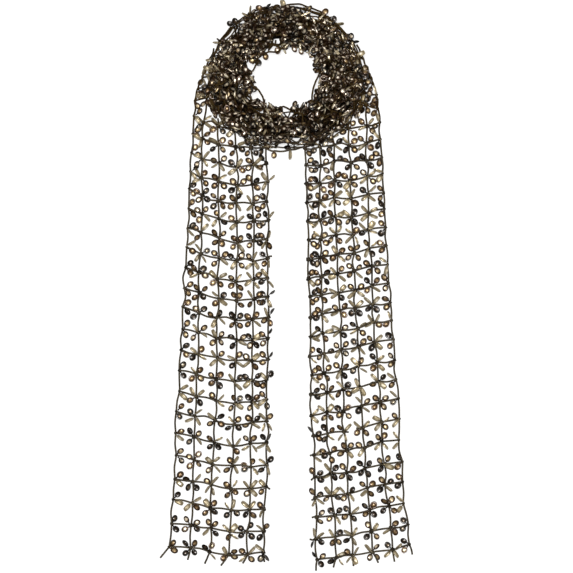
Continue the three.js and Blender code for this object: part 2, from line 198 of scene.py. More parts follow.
# Cords that hang out of the bunch: X, Y and height of points along each.
FRONT_LOOPS = (
    ((-45.0, 224.0, 14.0), (-41.4, 220.5, 14.0), (-36.0, 212.8, 13.0), (-29.5, 208.4, 11.0),
     (-25.4, 201.9, 9.0), (-22.9, 193.2, 8.0), (-20.8, 186.0, 9.0)),
    ((-15.2, 186.0, 9.0), (-6.5, 190.4, 8.0), (-3.2, 191.5, 7.5), (3.3, 188.2, 8.0), (9.0, 186.0, 9.0)),
    ((36.0, 248.0, 13.0), (34.6, 243.9, 12.0), (34.6, 225.8, 12.0), (31.2, 218.3, 11.0),
     (28.4, 210.7, 10.0), (27.1, 203.0, 9.0), (27.2, 194.9, 9.0), (29.0, 189.0, 10.0)),
    ((-25.0, 149.0, 3.0), (-15.4, 144.6, 2.5), (-6.9, 144.2, 2.0), (3.7, 145.9, 2.2),
     (14.4, 148.1, 2.6), (24.0, 151.0, 4.0)),
)
BACK_LOOPS = (
    ((-29.0, 240.0, 10.0), (-32.7, 234.6, 10.0), (-37.1, 227.1, 11.0), (-43.0, 223.0, 13.0)),
    ((-36.0, 236.0, 12.0), (-33.2, 239.5, 11.0), (-25.8, 245.8, 10.0), (-19.0, 249.0, 10.0),
     (-10.8, 248.8, 10.0), (-4.8, 252.5, 11.0), (0.0, 257.0, 12.0)),
    ((-21.0, 258.0, 13.0), (-16.3, 256.4, 12.0), (-9.8, 255.4, 11.0), (-5.4, 252.1, 10.0),
     (0.0, 255.0, 12.0)),
    ((-8.0, 295.0, 6.0), (1.3, 299.4, 7.0), (13.5, 300.3, 7.0), (19.5, 298.0, 8.0),
     (28.0, 295.0, 9.0), (37.3, 291.2, 9.0), (46.0, 284.0, 7.0)),
)

# Where the surface shows through the ring: X, Y and half sizes.
RING_GAPS = (
    (-10.5, 261.0, 3.2, 4.5), (-13.5, 252.5, 5.5, 2.2), (-37.5, 235.5, 4.0, 5.0),
    (-35.5, 203.5, 4.2, 3.6), (0.2, 185.2, 3.6, 3.8), (4.9, 183.0, 3.4, 2.6), (-6.0, 147.6, 3.2, 1.6),
    (16.5, 177.8, 2.8, 2.2), (-28.0, 187.0, 2.2, 2.5), (9.0, 156.0, 4.5, 1.8),
    (-50.0, 155.0, 4.5, 3.5), (79.5, 238.0, 1.8, 5.0), (84.5, 212.0, 2.6, 5.0),
    (80.0, 195.0, 5.0, 4.0), (-79.0, 170.0, 4.0, 5.0),
)

# Beside the ring the outermost cord spreads from it on the way down.
FLARE_CELL = 13.0
FLARE_TOP = 9.0
FLARE_ABOVE = (16, 8)        # degrees further up the ring, where it lies along the outline
OUTER_CORD_INSET = 1.5
FLARE_TURNS = (20, 65, 115, 180, 245, 295, 340)
FLARE_STEPS = (0, 4, 8, 12, 16, 20, 24, 28)
FLARE_FALL = 18              # degrees down to where it lies on the surface

# Each warp cord of a tail, from the left selvedge to the right one: its first, middle and
# last knots, and how far its cut end reaches from the last one. 'outer' is the warp of the
# outer selvedge; the inner one has sequins outside from a row on, and snagged cord ends.
LEFT_TAIL = {
    "cells": 20, "first_row": -1, "side": -1, "outer": 0, "outside_from": -1, "snags": (6, 17),
    "flare_start": 6.0, "flare_rate": 0.72, "flare_cords": (20.0, 12.5, 5.5), "flare_end": 22,
    "warps": (
        (-99.6, 162.9, -111.3, -43.7, -123.0, -275.8, -9.6, -11.7),
        (-88.9, 156.6, -94.3, -49.0, -102.8, -278.0, -3.2, -12.8),
        (-71.9, 152.3, -74.0, -54.3, -82.5, -281.2, -5.3, -12.8),
        (-53.8, 148.0, -53.8, -57.5, -61.2, -284.4, -8.5, -11.7),
        (-36.7, 149.1, -35.7, -56.4, -42.1, -284.4, -5.3, -9.6),
        (-21.8, 150.2, -19.7, -54.3, -25.0, -283.3, 1.1, -10.7),
    ),
}
RIGHT_TAIL = {
    "cells": 22, "first_row": 0, "side": 1, "outer": 5, "outside_from": 16,
    "snags": (17, 18, 19, 20, 21),
    "flare_start": 9.0, "flare_rate": 0.63, "flare_cords": (27.0, 19.5, 12.5, 6.0), "flare_end": 29,
    "broken_cord": {"row": 16, "warp": 2, "at": 0.45, "width": 8.0, "drops": (1.6, -0.8)},
    "warps": (
        (19.9, 167.5, 25.0, -52.2, 32.5, -289.7, -1.1, -11.7),
        (35.6, 168.2, 39.4, -50.1, 53.8, -287.6, -3.2, -10.7),
        (49.5, 171.1, 57.0, -46.9, 70.3, -286.5, 1.1, -11.7),
        (66.6, 168.7, 75.1, -43.7, 91.1, -282.2, 6.4, -11.7),
        (85.1, 171.0, 93.2, -38.3, 112.4, -279.0, 2.1, -12.8),
        (99.4, 174.8, 111.6, -36.2, 129.4, -274.8, 3.2, -10.7),
    ),
}

# ---- small helpers -------------------------------------------------------------------


def mix(a, b, t):
    return a + (b - a) * t


def smooth(edge0, edge1, x):
    t = min(max((x - edge0) / (edge1 - edge0), 0.0), 1.0)
    return t * t * (3.0 - 2.0 * t)


def linear(hex_colour):
    """An sRGB hex colour as linear RGBA."""
    out = []
    for i in (1, 3, 5):
        c = int(hex_colour[i:i + 2], 16) / 255.0
        out.append(c / 12.92 if c <= 0.04045 else ((c + 0.055) / 1.055) ** 2.4)
    return (*out, 1.0)


def deselect():
    for obj in bpy.context.scene.objects:
        obj.select_set(False)


def add_mesh(name, mesh, material):
    mesh.polygons.foreach_set("use_smooth", [True] * len(mesh.polygons))
    mesh.materials.append(material)
    mesh.update()
    obj = bpy.data.objects.new(name, mesh)
    bpy.context.collection.objects.link(obj)
    return obj


# ---- camera, light and floor ---------------------------------------------------------

VIEW_WIDTH = 610.2           # what the frame takes in at the height of the tails
LENS = 100.0
SENSOR = 36.0


def add_camera():
    camera = bpy.data.cameras.new("camera")
    camera.lens = LENS
    camera.sensor_width = SENSOR
    camera.clip_end = 20.0
    obj = bpy.data.objects.new("camera", camera)
    obj.location = (0.0, 0.5 * MM, (LENS * VIEW_WIDTH / SENSOR + 1.0) * MM)
    bpy.context.collection.objects.link(obj)
    bpy.context.scene.camera = obj


def add_light(name, place, target, size, power):
    light = bpy.data.lights.new(name, "AREA")
    light.size = size
    light.energy = power
    obj = bpy.data.objects.new(name, light)
    obj.location = place
    aim = Vector(target) - Vector(place)
    obj.rotation_euler = aim.to_track_quat("-Z", "Y").to_euler()
    bpy.context.collection.objects.link(obj)


def add_studio():
    deselect()
    bpy.ops.mesh.primitive_plane_add(size=20.0, location=(0.0, 0.0, 0.0))
    floor = bpy.context.object
    floor.name = "floor"
    paper = bpy.data.materials.new("white acrylic table, lit from below")
    paper.use_nodes = True
    shader = paper.node_tree.nodes["Principled BSDF"]
    shader.inputs["Base Color"].default_value = linear("#7f7e7c")
    shader.inputs["Emission Color"].default_value = linear("#ffffff")
    shader.inputs["Emission Strength"].default_value = 0.72
    shader.inputs["Roughness"].default_value = 0.9
    floor.data.materials.append(paper)

    world = bpy.data.worlds.new("studio")
    world.use_nodes = True
    tree = world.node_tree
    # a pale ceiling over a dim room
    place = add_node(tree, "ShaderNodeTexCoord")
    axes = add_node(tree, "ShaderNodeSeparateXYZ", None, {"Vector": place.outputs["Generated"]})
    ceiling = add_node(tree, "ShaderNodeMapRange", {1: 0.4, 2: 0.9, 3: 0.06, 4: 0.5},
                       {0: axes.outputs["Z"]})
    background = tree.nodes["Background"]
    background.inputs["Color"].default_value = linear("#f8f5ef")
    tree.links.new(ceiling.outputs[0], background.inputs["Strength"])
    bpy.context.scene.world = world
    bpy.context.scene.view_settings.view_transform = "Standard"

    add_light("overhead softbox", (-0.25, 0.35, 2.4), (0.0, 0.0, 0.0), 0.8, 98.0)
    add_light("side softbox", (1.9, -1.2, 1.5), (0.0, 0.0, 0.0), 0.9, 24.0)


# ---- materials -----------------------------------------------------------------------


def add_node(tree, kind, settings=None, links=None):
    """A node of a kind, with its settings by attribute or input name, and its links."""
    node = tree.nodes.new(kind)
    for key, value in (settings or {}).items():
        if isinstance(key, str) and hasattr(node, key):
            setattr(node, key, value)
        else:
            node.inputs[key].default_value = value
    for key, source in (links or {}).items():
        tree.links.new(source, node.inputs[key])
    return node


def new_material(name):
    material = bpy.data.materials.new(name)
    material.use_nodes = True
    return material, material.node_tree, material.node_tree.nodes["Principled BSDF"]


def set_ramp(node, stops):
    ramp = node.color_ramp
    while len(ramp.elements) < len(stops):
        ramp.elements.new(0.5)
    for element, (position, colour) in zip(ramp.elements, stops):
        element.position = position
        element.color = linear(colour)


def crocheted_rayon(name, dark, light, shaded):
    """Crocheted rayon cord: fine chain stitches, matt with a faint thread sheen. In the bunch its
    colour is multiplied by the colour 'shaded': painted shade, browned as painted light reflected
    from the sequins round it."""
    material, tree, shader = new_material(name)
    uv = add_node(tree, "ShaderNodeUVMap", {"uv_map": "cord"})
    # one chain stitch every 2 mm along the cord, leaning with the twist
    stitch = add_node(tree, "ShaderNodeTexWave",
                      {"Scale": 0.32, "Distortion": 0.6, "bands_direction": "DIAGONAL"},
                      {"Vector": uv.outputs["UV"]})
    place = add_node(tree, "ShaderNodeTexCoord")
    # dye and wear vary over about 12 mm
    dye = add_node(tree, "ShaderNodeTexNoise", {"Scale": 85.0, "Detail": 3.0},
                   {"Vector": place.outputs["Object"]})
    # the colour is darker where the stitch's bump is low: painted shade in the grooves between
    # stitches, over the dye's real tone
    groove_shade_and_dye = add_node(tree, "ShaderNodeMath", {"operation": "MULTIPLY_ADD", 1: 0.45},
                    {0: stitch.outputs["Fac"], 2: dye.outputs["Fac"]})
    colour = add_node(tree, "ShaderNodeValToRGB", None, {"Fac": groove_shade_and_dye.outputs[0]})
    set_ramp(colour, ((0.4, dark), (1.0, light)))
    bump = add_node(tree, "ShaderNodeBump", {"Strength": 0.7, "Distance": 0.3 * MM},
                    {"Height": stitch.outputs["Fac"]})
    # the bunch's painted shade comes in over 40 mm, where the tails go in under the ring
    axes = add_node(tree, "ShaderNodeSeparateXYZ", None, {"Vector": place.outputs["Object"]})
    bunched = add_node(tree, "ShaderNodeMapRange", {1: 0.14, 2: 0.18}, {0: axes.outputs["Y"]})
    bunch_shaded_colour = add_node(tree, "ShaderNodeMix",
                      {"data_type": "RGBA", "blend_type": "MULTIPLY", 7: linear(shaded)},
                      {0: bunched.outputs[0], 6: colour.outputs["Color"]})
    tree.links.new(bunch_shaded_colour.outputs[2], shader.inputs["Base Color"])
    tree.links.new(bump.outputs["Normal"], shader.inputs["Normal"])
    shader.inputs["Roughness"].default_value = 0.8
    shader.inputs["Specular IOR Level"].default_value = 0.05
    return material


def bunched_rayon(name, dark, light):
    """The same cord packed in layers, too close to follow one: wandering ridges about 4 mm
    apart. Its colours, far darker than the cord's own, are painted deep shade inside the bunch."""
    material, tree, shader = new_material(name)
    place = add_node(tree, "ShaderNodeTexCoord")
    ridge = add_node(tree, "ShaderNodeTexWave",
                     {"Scale": 80.0, "Distortion": 14.0, "Detail": 2.0, "Detail Scale": 1.6},
                     {"Vector": place.outputs["Object"]})
    # darker in the grooves between the ridges: painted shade
    colour = add_node(tree, "ShaderNodeValToRGB", None, {"Fac": ridge.outputs["Fac"]})
    set_ramp(colour, ((0.3, dark), (1.0, light)))
    bump = add_node(tree, "ShaderNodeBump", {"Strength": 0.9, "Distance": 1.0 * MM},
                    {"Height": ridge.outputs["Fac"]})
    tree.links.new(colour.outputs["Color"], shader.inputs["Base Color"])
    tree.links.new(bump.outputs["Normal"], shader.inputs["Normal"])
    shader.inputs["Roughness"].default_value = 0.85
    shader.inputs["Specular IOR Level"].default_value = 0.03
    return material


def metallised_film(name, stops, rim, metallic, roughness):
    """Pressed film with a metal coat. Its colour is mixed towards the colour 'rim' the nearer
    the cup's wall comes to the cut rim: painted shade on the wall, which leaves the middle of
    the cup bright as a painted highlight."""
    material, tree, shader = new_material(name)
    tone = add_node(tree, "ShaderNodeAttribute", {"attribute_name": "tone"})
    edge = add_node(tree, "ShaderNodeAttribute", {"attribute_name": "rim"})
    place = add_node(tree, "ShaderNodeTexCoord")
    # the coat is cloudy over about 2 mm
    cloud = add_node(tree, "ShaderNodeTexNoise", {"Scale": 480.0, "Detail": 2.0},
                     {"Vector": place.outputs["Object"]})
    shade = add_node(tree, "ShaderNodeMath", {"operation": "MULTIPLY_ADD", 1: 0.25},
                     {0: cloud.outputs["Fac"], 2: tone.outputs["Fac"]})
    colour = add_node(tree, "ShaderNodeValToRGB", None, {"Fac": shade.outputs[0]})
    set_ramp(colour, stops)
    # painted shade: the colour darkens the nearer the cut rim, by the 'rim' attribute
    painted_rim_shade_mask = add_node(tree, "ShaderNodeMapRange", {1: 0.2, 2: 0.68}, {0: edge.outputs["Fac"]})
    coat = add_node(tree, "ShaderNodeMix", {"data_type": "RGBA"}, {0: painted_rim_shade_mask.outputs[0]})
    tree.links.new(colour.outputs["Color"], coat.inputs[6])
    coat.inputs[7].default_value = linear(rim)
    rough = add_node(tree, "ShaderNodeMapRange", {1: 0.3, 2: 0.8, 3: roughness, 4: roughness + 0.15},
                     {0: cloud.outputs["Fac"]})
    tree.links.new(coat.outputs[2], shader.inputs["Base Color"])
    tree.links.new(rough.outputs[0], shader.inputs["Roughness"])
    shader.inputs["Metallic"].default_value = metallic
    shader.inputs["Coat Weight"].default_value = 0.35
    shader.inputs["Coat Roughness"].default_value = 0.08
    return material


# The second colour of each film is that of the painted shade on its cup's wall.
def make_materials():
    return {
        # the third colour is the bunch's painted shade, browned by painted light reflected from the
        # sequins
        "cord": crocheted_rayon("crocheted rayon cord, olive black", "#16120d", "#484134",
                                "#d4b87c"),
        # the bunch's near-black colours are painted deep shade inside the ring
        "bunch": bunched_rayon("bunched rayon net in painted shade", "#050201", "#181005"),
        # The top stops of the film ramps, reached mostly by the glints' tones, are painted glints.
        "bronze": metallised_film("metallised film, bronze",
                                  ((0.1, "#563f22"), (0.45, "#8a734e"), (0.8, "#c4af86"),
                                   (1.0, "#f5e9d5")),
                                  "#301d09", 0.7, 0.38),
        "black": metallised_film("metallised film, brown black",
                                 ((0.1, "#170f07"), (0.6, "#382918"), (0.85, "#6a5d4a"),
                                  (1.0, "#c9bda6")),
                                 "#100a04", 0.6, 0.3),
        # a lighter copy of the film for sequins mostly on edge: painted reflection of the white room
        "pale": metallised_film("metallised film, painted pale reflection",
                                ((0.1, "#94866c"), (0.5, "#beb193"), (1.0, "#f3ebd8")),
                                "#85785d", 0.6, 0.36),
    }


# ---- cords ---------------------------------------------------------------------------


def rounded_path(points, step):
    """A smooth path through points (Catmull-Rom), sampled about every step."""
    points = [np.asarray(p, float) for p in points]
    padded = [2 * points[0] - points[1], *points, 2 * points[-1] - points[-2]]
    out = []
    for a, b, c, d in zip(padded, padded[1:], padded[2:], padded[3:]):
        pieces = max(1, round(float(np.linalg.norm(c - b)) / step))
        for i in range(pieces):
            t = i / pieces
            out.append(0.5 * (2 * b + (c - a) * t + (2 * a - 5 * b + 4 * c - d) * t * t
                              + (3 * b - a - 3 * c + d) * t ** 3))
    out.append(points[-1])
    return np.array(out)


class Tubes:
    """Round cords gathered into one mesh, each closed at its ends, with a UV map in mm."""

    def __init__(self, sides=6):
        self.sides = sides
        self.vertices, self.faces, self.uvs = [], [], []
        self.count = 0
        self.area = 0.0              # of the cords pressed flat, in mm2

    def add(self, points, radius, step=2.6):
        path = rounded_path(points, step)
        n, sides = len(path), self.sides
        tangents = np.gradient(path, axis=0)
        tangents /= np.linalg.norm(tangents, axis=1)[:, None]
        up = np.array((0.0, 0.0, 1.0))
        across = np.cross(tangents, up)
        flat = np.linalg.norm(across, axis=1) < 0.05
        across[flat] = (1.0, 0.0, 0.0)
        across /= np.linalg.norm(across, axis=1)[:, None]
        lift = np.cross(across, tangents)
        along = np.concatenate(([0.0], np.cumsum(np.linalg.norm(np.diff(path, axis=0), axis=1))))
        angles = np.arange(sides) / sides * 2 * math.pi
        ring = (path[:, None] + radius * (np.cos(angles)[None, :, None] * across[:, None]
                                          + np.sin(angles)[None, :, None] * lift[:, None]))
        self.vertices.append(ring.reshape(-1, 3))
        self.area += math.pi * radius * along[-1]
        for i in range(n - 1):
            for j in range(sides):
                k = (j + 1) % sides
                here, there = self.count + i * sides, self.count + (i + 1) * sides
                self.faces.append((here + j, here + k, there + k, there + j))
                u0, u1 = along[i], along[i + 1]
                v0, v1 = radius * j, radius * (j + 1)
                self.uvs.extend(((u0, v0), (u0, v1), (u1, v1), (u1, v0)))
        for start, order in ((self.count, reversed(range(sides))),
                             (self.count + (n - 1) * sides, range(sides))):
            self.faces.append(tuple(start + j for j in order))
            self.uvs.extend([(0.0, 0.0)] * sides)
        self.count += n * sides

    def build(self, name, material):
        mesh = bpy.data.meshes.new(name)
        mesh.from_pydata(np.concatenate(self.vertices) * MM, [], self.faces)
        uv = mesh.uv_layers.new(name="cord")
        uv.data.foreach_set("uv", np.array(self.uvs, dtype=np.float32).ravel())
        return add_mesh(name, mesh, material)


# ---- copies of small shapes ----------------------------------------------------------


def shape_arrays(obj, attribute):
    """A small shape's corners, faces and one number a corner, and the object removed."""
    mesh = obj.data
    corners = np.array([v.co for v in mesh.vertices])
    faces = [tuple(p.vertices) for p in mesh.polygons]
    values = np.array([attribute(v.co) for v in mesh.vertices])
    bpy.data.objects.remove(obj)
    return corners, faces, values


def sequin_shape(power):
    """A cupped oval with a narrow tab drawn out to its knot, which is on its -X side. The
    power is 2 for a true oval, and higher the blunter its ends are."""
    deselect()
    bpy.ops.mesh.primitive_circle_add(vertices=SEQUIN_SIDES, radius=1.0, fill_type="NGON")
    obj = bpy.context.object
    for v in obj.data.vertices:
        v.co *= oval_radius(math.atan2(v.co.y, v.co.x), 1.0, 1.0, power)
    bpy.ops.object.mode_set(mode="EDIT")
    bpy.ops.mesh.inset(thickness=SEQUIN_WALL, depth=-SEQUIN_DEPTH * WALL_DROP)
    bpy.ops.mesh.poke(offset=-SEQUIN_DEPTH * MIDDLE_DROP)
    bpy.ops.mesh.select_all(action="SELECT")
    bpy.ops.transform.resize(value=(SEQUIN_LENGTH / 2, SEQUIN_WIDTH / 2, 1.0))
    bpy.ops.mesh.select_mode(type="EDGE")
    bpy.ops.mesh.select_all(action="DESELECT")
    bpy.ops.object.mode_set(mode="OBJECT")
    root = sorted(obj.data.vertices, key=lambda v: v.co.x)[:2]
    ends = {v.index for v in root}
    next(e for e in obj.data.edges if set(e.vertices) == ends).select = True
    bpy.ops.object.mode_set(mode="EDIT")
    bpy.ops.mesh.extrude_region_move()
    bpy.ops.object.mode_set(mode="OBJECT")
    for v in obj.data.vertices:
        if v.select:
            v.co = Vector((KNOT_RADIUS / 2 - SEQUIN_REACH, math.copysign(TAB_WIDTH / 2, v.co.y),
                           -SEQUIN_DEPTH * MIDDLE_DROP))
    film = obj.modifiers.new("film", "SOLIDIFY")
    film.thickness = FILM
    film.offset = 0.0
    bpy.ops.object.modifier_apply(modifier=film.name)
    # each corner's 'rim' number, 0 in the middle to 1 at the cut edge, sets the film's painted shade
    return shape_arrays(obj, lambda co: min(1.0, 2 * math.hypot(co.x / SEQUIN_LENGTH,
                                                                co.y / SEQUIN_WIDTH)))


def knot_shape():
    """A crocheted knot: a squat lump, swollen where the cord turns."""
    deselect()
    bpy.ops.mesh.primitive_uv_sphere_add(segments=9, ring_count=5, radius=KNOT_RADIUS)
    obj = bpy.context.object
    for v in obj.data.vertices:
        turn = math.atan2(v.co.y, v.co.x)
        swell = 1.0 + 0.16 * math.cos(4 * turn) + 0.1 * math.cos(3 * turn + v.co.z * 1.5)
        v.co = Vector((v.co.x * swell, v.co.y * swell, v.co.z * KNOT_SQUASH))
    return shape_arrays(obj, lambda co: 0.0)


def scatter(name, shape, placements, material):
    """One mesh of many copies: each placement is a 4x4 matrix in mm, a tone, and how far in
    the painted shade of its rim reaches. A copy that would dip under the surface is lifted onto it."""
    corners, faces, values = shape
    n = len(corners)
    matrices = np.array([np.array(m) for m, _, _ in placements])
    placed = np.einsum("kij,nj->kni", matrices, np.hstack([corners, np.ones((n, 1))]))[..., :3]
    placed[..., 2] += np.maximum(0.0, CLEARANCE - placed[..., 2].min(axis=1))[:, None]
    all_faces = [tuple(i + k * n for i in face) for k in range(len(placements)) for face in faces]
    mesh = bpy.data.meshes.new(name)
    mesh.from_pydata(placed.reshape(-1, 3) * MM, [], all_faces)
    tones = np.repeat(np.array([tone for _, tone, _ in placements]), n)
    rim_shade_reaches = np.outer([reach for _, _, reach in placements], values).ravel()
    for label, numbers in (("tone", tones), ("rim", rim_shade_reaches)):
        attribute = mesh.attributes.new(label, "FLOAT", "POINT")
        attribute.data.foreach_set("value", numbers.astype(np.float32))
    return add_mesh(name, mesh, material)


# ---- the ring's surface --------------------------------------------------------------


def oval_radius(angle, half_x, half_y, power):
    c = abs(math.cos(angle)) / half_x
    s = abs(math.sin(angle)) / half_y
    return (c ** power + s ** power) ** (-1.0 / power)


def outer_radius(angle):
    if math.sin(angle) > 0:
        return oval_radius(angle, RING_HALF_WIDTH, RING_HALF_ABOVE, RING_POWER_ABOVE)
    return oval_radius(angle, RING_HALF_WIDTH, RING_HALF_BELOW, RING_POWER_BELOW)


def inner_radius(angle):
    return oval_radius(angle, OPENING_HALF_WIDTH, OPENING_HALF_HEIGHT, OPENING_POWER)


def ring_place(degrees, radius):
    angle = math.radians(degrees)
    return RING_X + radius * math.cos(angle), RING_Y + radius * math.sin(angle)


def solid_trees(nodes):
    trees = []
    for node in nodes:
        mesh = frame["nodes"][node].data
        trees.append(BVHTree.FromPolygons([v.co / MM for v in mesh.vertices],
                                          [tuple(p.vertices) for p in mesh.polygons]))
    return trees


RING_TREES = solid_trees(("front_wrap_net", "left_shoulder_net", "right_shoulder_net",
                          "back_neck_net", "hidden_layers"))


def ring_surface(degrees, around):
    """A place on the ring's solids and the way out of them there. 'around' goes over the
    ring's section, from 0 at its outer edge over 90 on top to 180 at the opening."""
    angle = math.radians(degrees)
    outer, inner = outer_radius(angle), inner_radius(angle)
    middle = Vector((*ring_place(degrees, (outer + inner) / 2), SECTION_MIDDLE))
    across = math.cos(math.radians(around)) * (outer - inner) / 2
    up = math.sin(math.radians(around)) * SECTION_RISE
    way = Vector((across * math.cos(angle), across * math.sin(angle), up)).normalized()
    reach = 0.0
    for tree in RING_TREES:
        hit, _, _, _ = tree.ray_cast(middle + way * RAY, -way, RAY)
        if hit:
            reach = max(reach, (hit - middle).length)
    return middle + way * reach, way


def height_over_ring(x, y):
    """How high the ring's solids are at a place, or 0 beside them."""
    hits = (tree.ray_cast(Vector((x, y, RAY)), Vector((0.0, 0.0, -1.0)))[0] for tree in RING_TREES)
    return max((hit.z for hit in hits if hit), default=0.0)


def in_gap(place, margin):
    return any(((place.x - x) / (half_x + margin)) ** 2 + ((place.y - y) / (half_y + margin)) ** 2 < 1
               for x, y, half_x, half_y in RING_GAPS)


def clear_of_gaps(place, margin):
    """The place itself, or moved just out of a gap if it is in one."""
    for gap_x, gap_y, half_x, half_y in RING_GAPS:
        wide, high = half_x + margin, half_y + margin
        x, y = (place.x - gap_x) / wide, (place.y - gap_y) / high
        depth = max(math.hypot(x, y), 0.01)
        if depth < 1:
            place = Vector((gap_x + x / depth * wide, gap_y + y / depth * high, place.z))
    return place


# ---- nets ----------------------------------------------------------------------------


def pick_finish(rng):
    roll = rng.random()
    for kind, share in FINISHES:
        if roll < share:
            return kind
        roll -= share
    return FINISHES[0][0]


def pick_tilt(rng, kind):
    """How far a sequin is turned about its thread, in radians. Dark ones mostly lie flat and
    pale ones stand on edge, and some cups face down."""
    lying = kind == "pale" and rng.random() >= PALE_ON_EDGE
    steep = rng.uniform(*(PALE_LYING if lying else TILTS[kind]))
    return math.radians(steep) * rng.choice((-1, 1)) + (math.pi if rng.random() < FACE_DOWN else 0.0)


class Net:
    """A stretch of net: its cords, the knots where they cross and the sequins round them."""

    def __init__(self, name, seed):
        self.name = name
        self.random = random.Random(seed)
        self.knots = {}
        self.cords = Tubes()
        self.lumps = []
        self.petals = {kind: [] for kind, _ in FINISHES}

    def jitter(self, amount):
        return self.random.uniform(-amount, amount)

    def tie(self, key, place, lump=1.0):
        """A knot at a place, with its crocheted lump."""
        self.knots[key] = place
        turn = Matrix.Rotation(self.random.uniform(0, math.tau), 4, "Z")
        tip = Matrix.Rotation(self.jitter(0.4), 4, "X")
        size = lump * self.random.uniform(0.9, 1.15)
        self.lumps.append((Matrix.Translation(place) @ tip @ turn @ Matrix.Scale(size, 4), 0.0, 1.0))

    def run(self, places, sway, lift, natural=0.0, radius=CORD_RADIUS):
        """A cord through places, swaying between them. Where the cord between two knots has
        a longer natural length than their distance, the rest hangs out in a loop."""
        path = [Vector(places[0])]
        for here, there in zip(places, places[1:]):
            span = there - here
            sideways = span.cross(Vector((0, 0, 1)))
            sideways = sideways.normalized() if sideways.length > 0.1 else Vector((1, 0, 0))
            slack = math.sqrt(max(0.0, natural ** 2 - span.length ** 2)) / 2
            lean = self.random.uniform(*LOOP_LEAN) * self.random.choice((-1, 1))
            middle = (here + there) / 2 + sideways * (self.random.gauss(0, sway) + slack * lean)
            middle.z -= slack * math.sqrt(1 - lean ** 2)
            middle.z = max(middle.z + self.jitter(lift), CORD_HEIGHT)
            middle = clear_of_gaps(middle, CORD_RADIUS)
            path.extend((middle, Vector(there)))
        self.cords.add(path, radius)

    def sequin(self, knot, out, kind, tilt, nod=0.0, tone=None, fold=1.0, dark=1.0):
        """A sequin on its short tab, out from a knot. 'fold' is the share of its width that
        is left where it is crushed, and 'dark' how far in the painted shade of its rim reaches."""
        out = out.normalized()
        level = Vector((0, 0, 1)).cross(out)
        side = level.normalized() if level.length > 0.1 else Vector((1, 0, 0))
        axes = Matrix((out, side, out.cross(side))).transposed().to_4x4()
        turn = Matrix.Rotation(tilt, 4, "X") @ Matrix.Rotation(nod, 4, "Y")
        reach = SEQUIN_REACH * self.random.uniform(*REACHES)
        size = self.random.uniform(*LENGTHS)
        long = size
        if kind == "pale":
            long *= self.random.uniform(*PALE_STRETCH)
            fold *= self.random.uniform(*PALE_FOLD)
            reach *= PALE_REACH
        if tone is None:
            tone = self.random.uniform(*TONES)
        shape = Matrix.Diagonal((long, size * fold, size, 1.0))
        place = Matrix.Translation(knot + out * reach) @ axes @ turn @ shape
        self.petals[kind].append((place, tone, dark))

    def petal(self, knot, heading, kind=None, steep=None):
        """A sequin lying out level from a knot, at a compass heading in degrees."""
        angle = math.radians(heading)
        kind = kind or pick_finish(self.random)
        tilt = pick_tilt(self.random, kind) if steep is None else math.radians(steep)
        self.sequin(knot, Vector((math.cos(angle), math.sin(angle), 0.0)), kind, tilt,
                    math.radians(self.jitter(14)))

    def pieces(self, materials):
        """The net's meshes, the cords first, riding on the body."""
        made = [self.cords.build(f"{self.name}_cords", materials["cord"])]
        made.append(scatter(f"{self.name}_knots", SHAPES["knot"], self.lumps, materials["cord"]))
        slots = ["net_cord", "net_cord"]
        for kind, placements in self.petals.items():
            if placements:
                made.append(scatter(f"{self.name}_{kind}_sequins", SHAPES[kind], placements,
                                    materials[kind]))
                slots.append(f"{kind}_sequin")
        for piece, slot in zip(made, slots):
            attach(piece, "root")
        return made

    def cloth_area(self):
        """Area of the cords pressed flat, in square metres: half of each one's surface."""
        return self.cords.area * MM * MM


# ---- tails ---------------------------------------------------------------------------


def flare_place(tail, below, inset=0.0):
    """Beside the ring: 'below' is degrees down from where the outermost cord leaves it."""
    rise = tail["flare_start"] - below
    degrees = rise if tail["side"] > 0 else 180.0 - rise
    radius = outer_radius(math.radians(degrees)) + tail["flare_rate"] * below - inset
    return ring_place(degrees, radius)


def knot_place(tail, row, warp):
    """Where a knot of a tail is: on a parabola through its warp's three given knots."""
    first_x, first_y, mid_x, mid_y, last_x, last_y, _, _ = tail["warps"][warp]
    t = row / tail["cells"]
    a, b, c = (1 - t) * (1 - 2 * t), 4 * t * (1 - t), t * (2 * t - 1)
    return a * first_x + b * mid_x + c * last_x, a * first_y + b * mid_y + c * last_y


def tail_petals(net, tail, row, warp):
    """Four sequins round an inner knot. An outer selvedge has only the two that point in,
    and an inner selvedge has steep ones outside where the table says so."""
    place = net.knots[(row, warp)]
    side = tail["side"]
    inward = (135, 225) if side > 0 else (45, -45)
    if warp == tail["outer"]:
        headings = inward
    elif warp == WARPS - 1 - tail["outer"]:
        headings = tuple(180 - h for h in inward)
    else:
        headings = DIAGONALS
    for heading in headings:
        if net.random.random() < MISSING:
            continue
        net.petal(place, heading + net.random.gauss(0, WANDER))
    if warp == WARPS - 1 - tail["outer"] and row >= tail["outside_from"]:
        for heading in (STEEP, -STEEP):
            if net.random.random() < mix(*OUTSIDE_SHARE, row / tail["cells"]):
                on_edge = net.random.random() < OUTSIDE_ON_EDGE
                facing = heading if side < 0 else 180 - heading
                facing += net.random.gauss(0, STEEP_WANDER)
                kind = net.random.choice(("pale", "black")) if on_edge else None
                steep = net.random.choice((-1, 1)) * ON_EDGE if on_edge else None
                net.petal(place, facing, kind, steep)


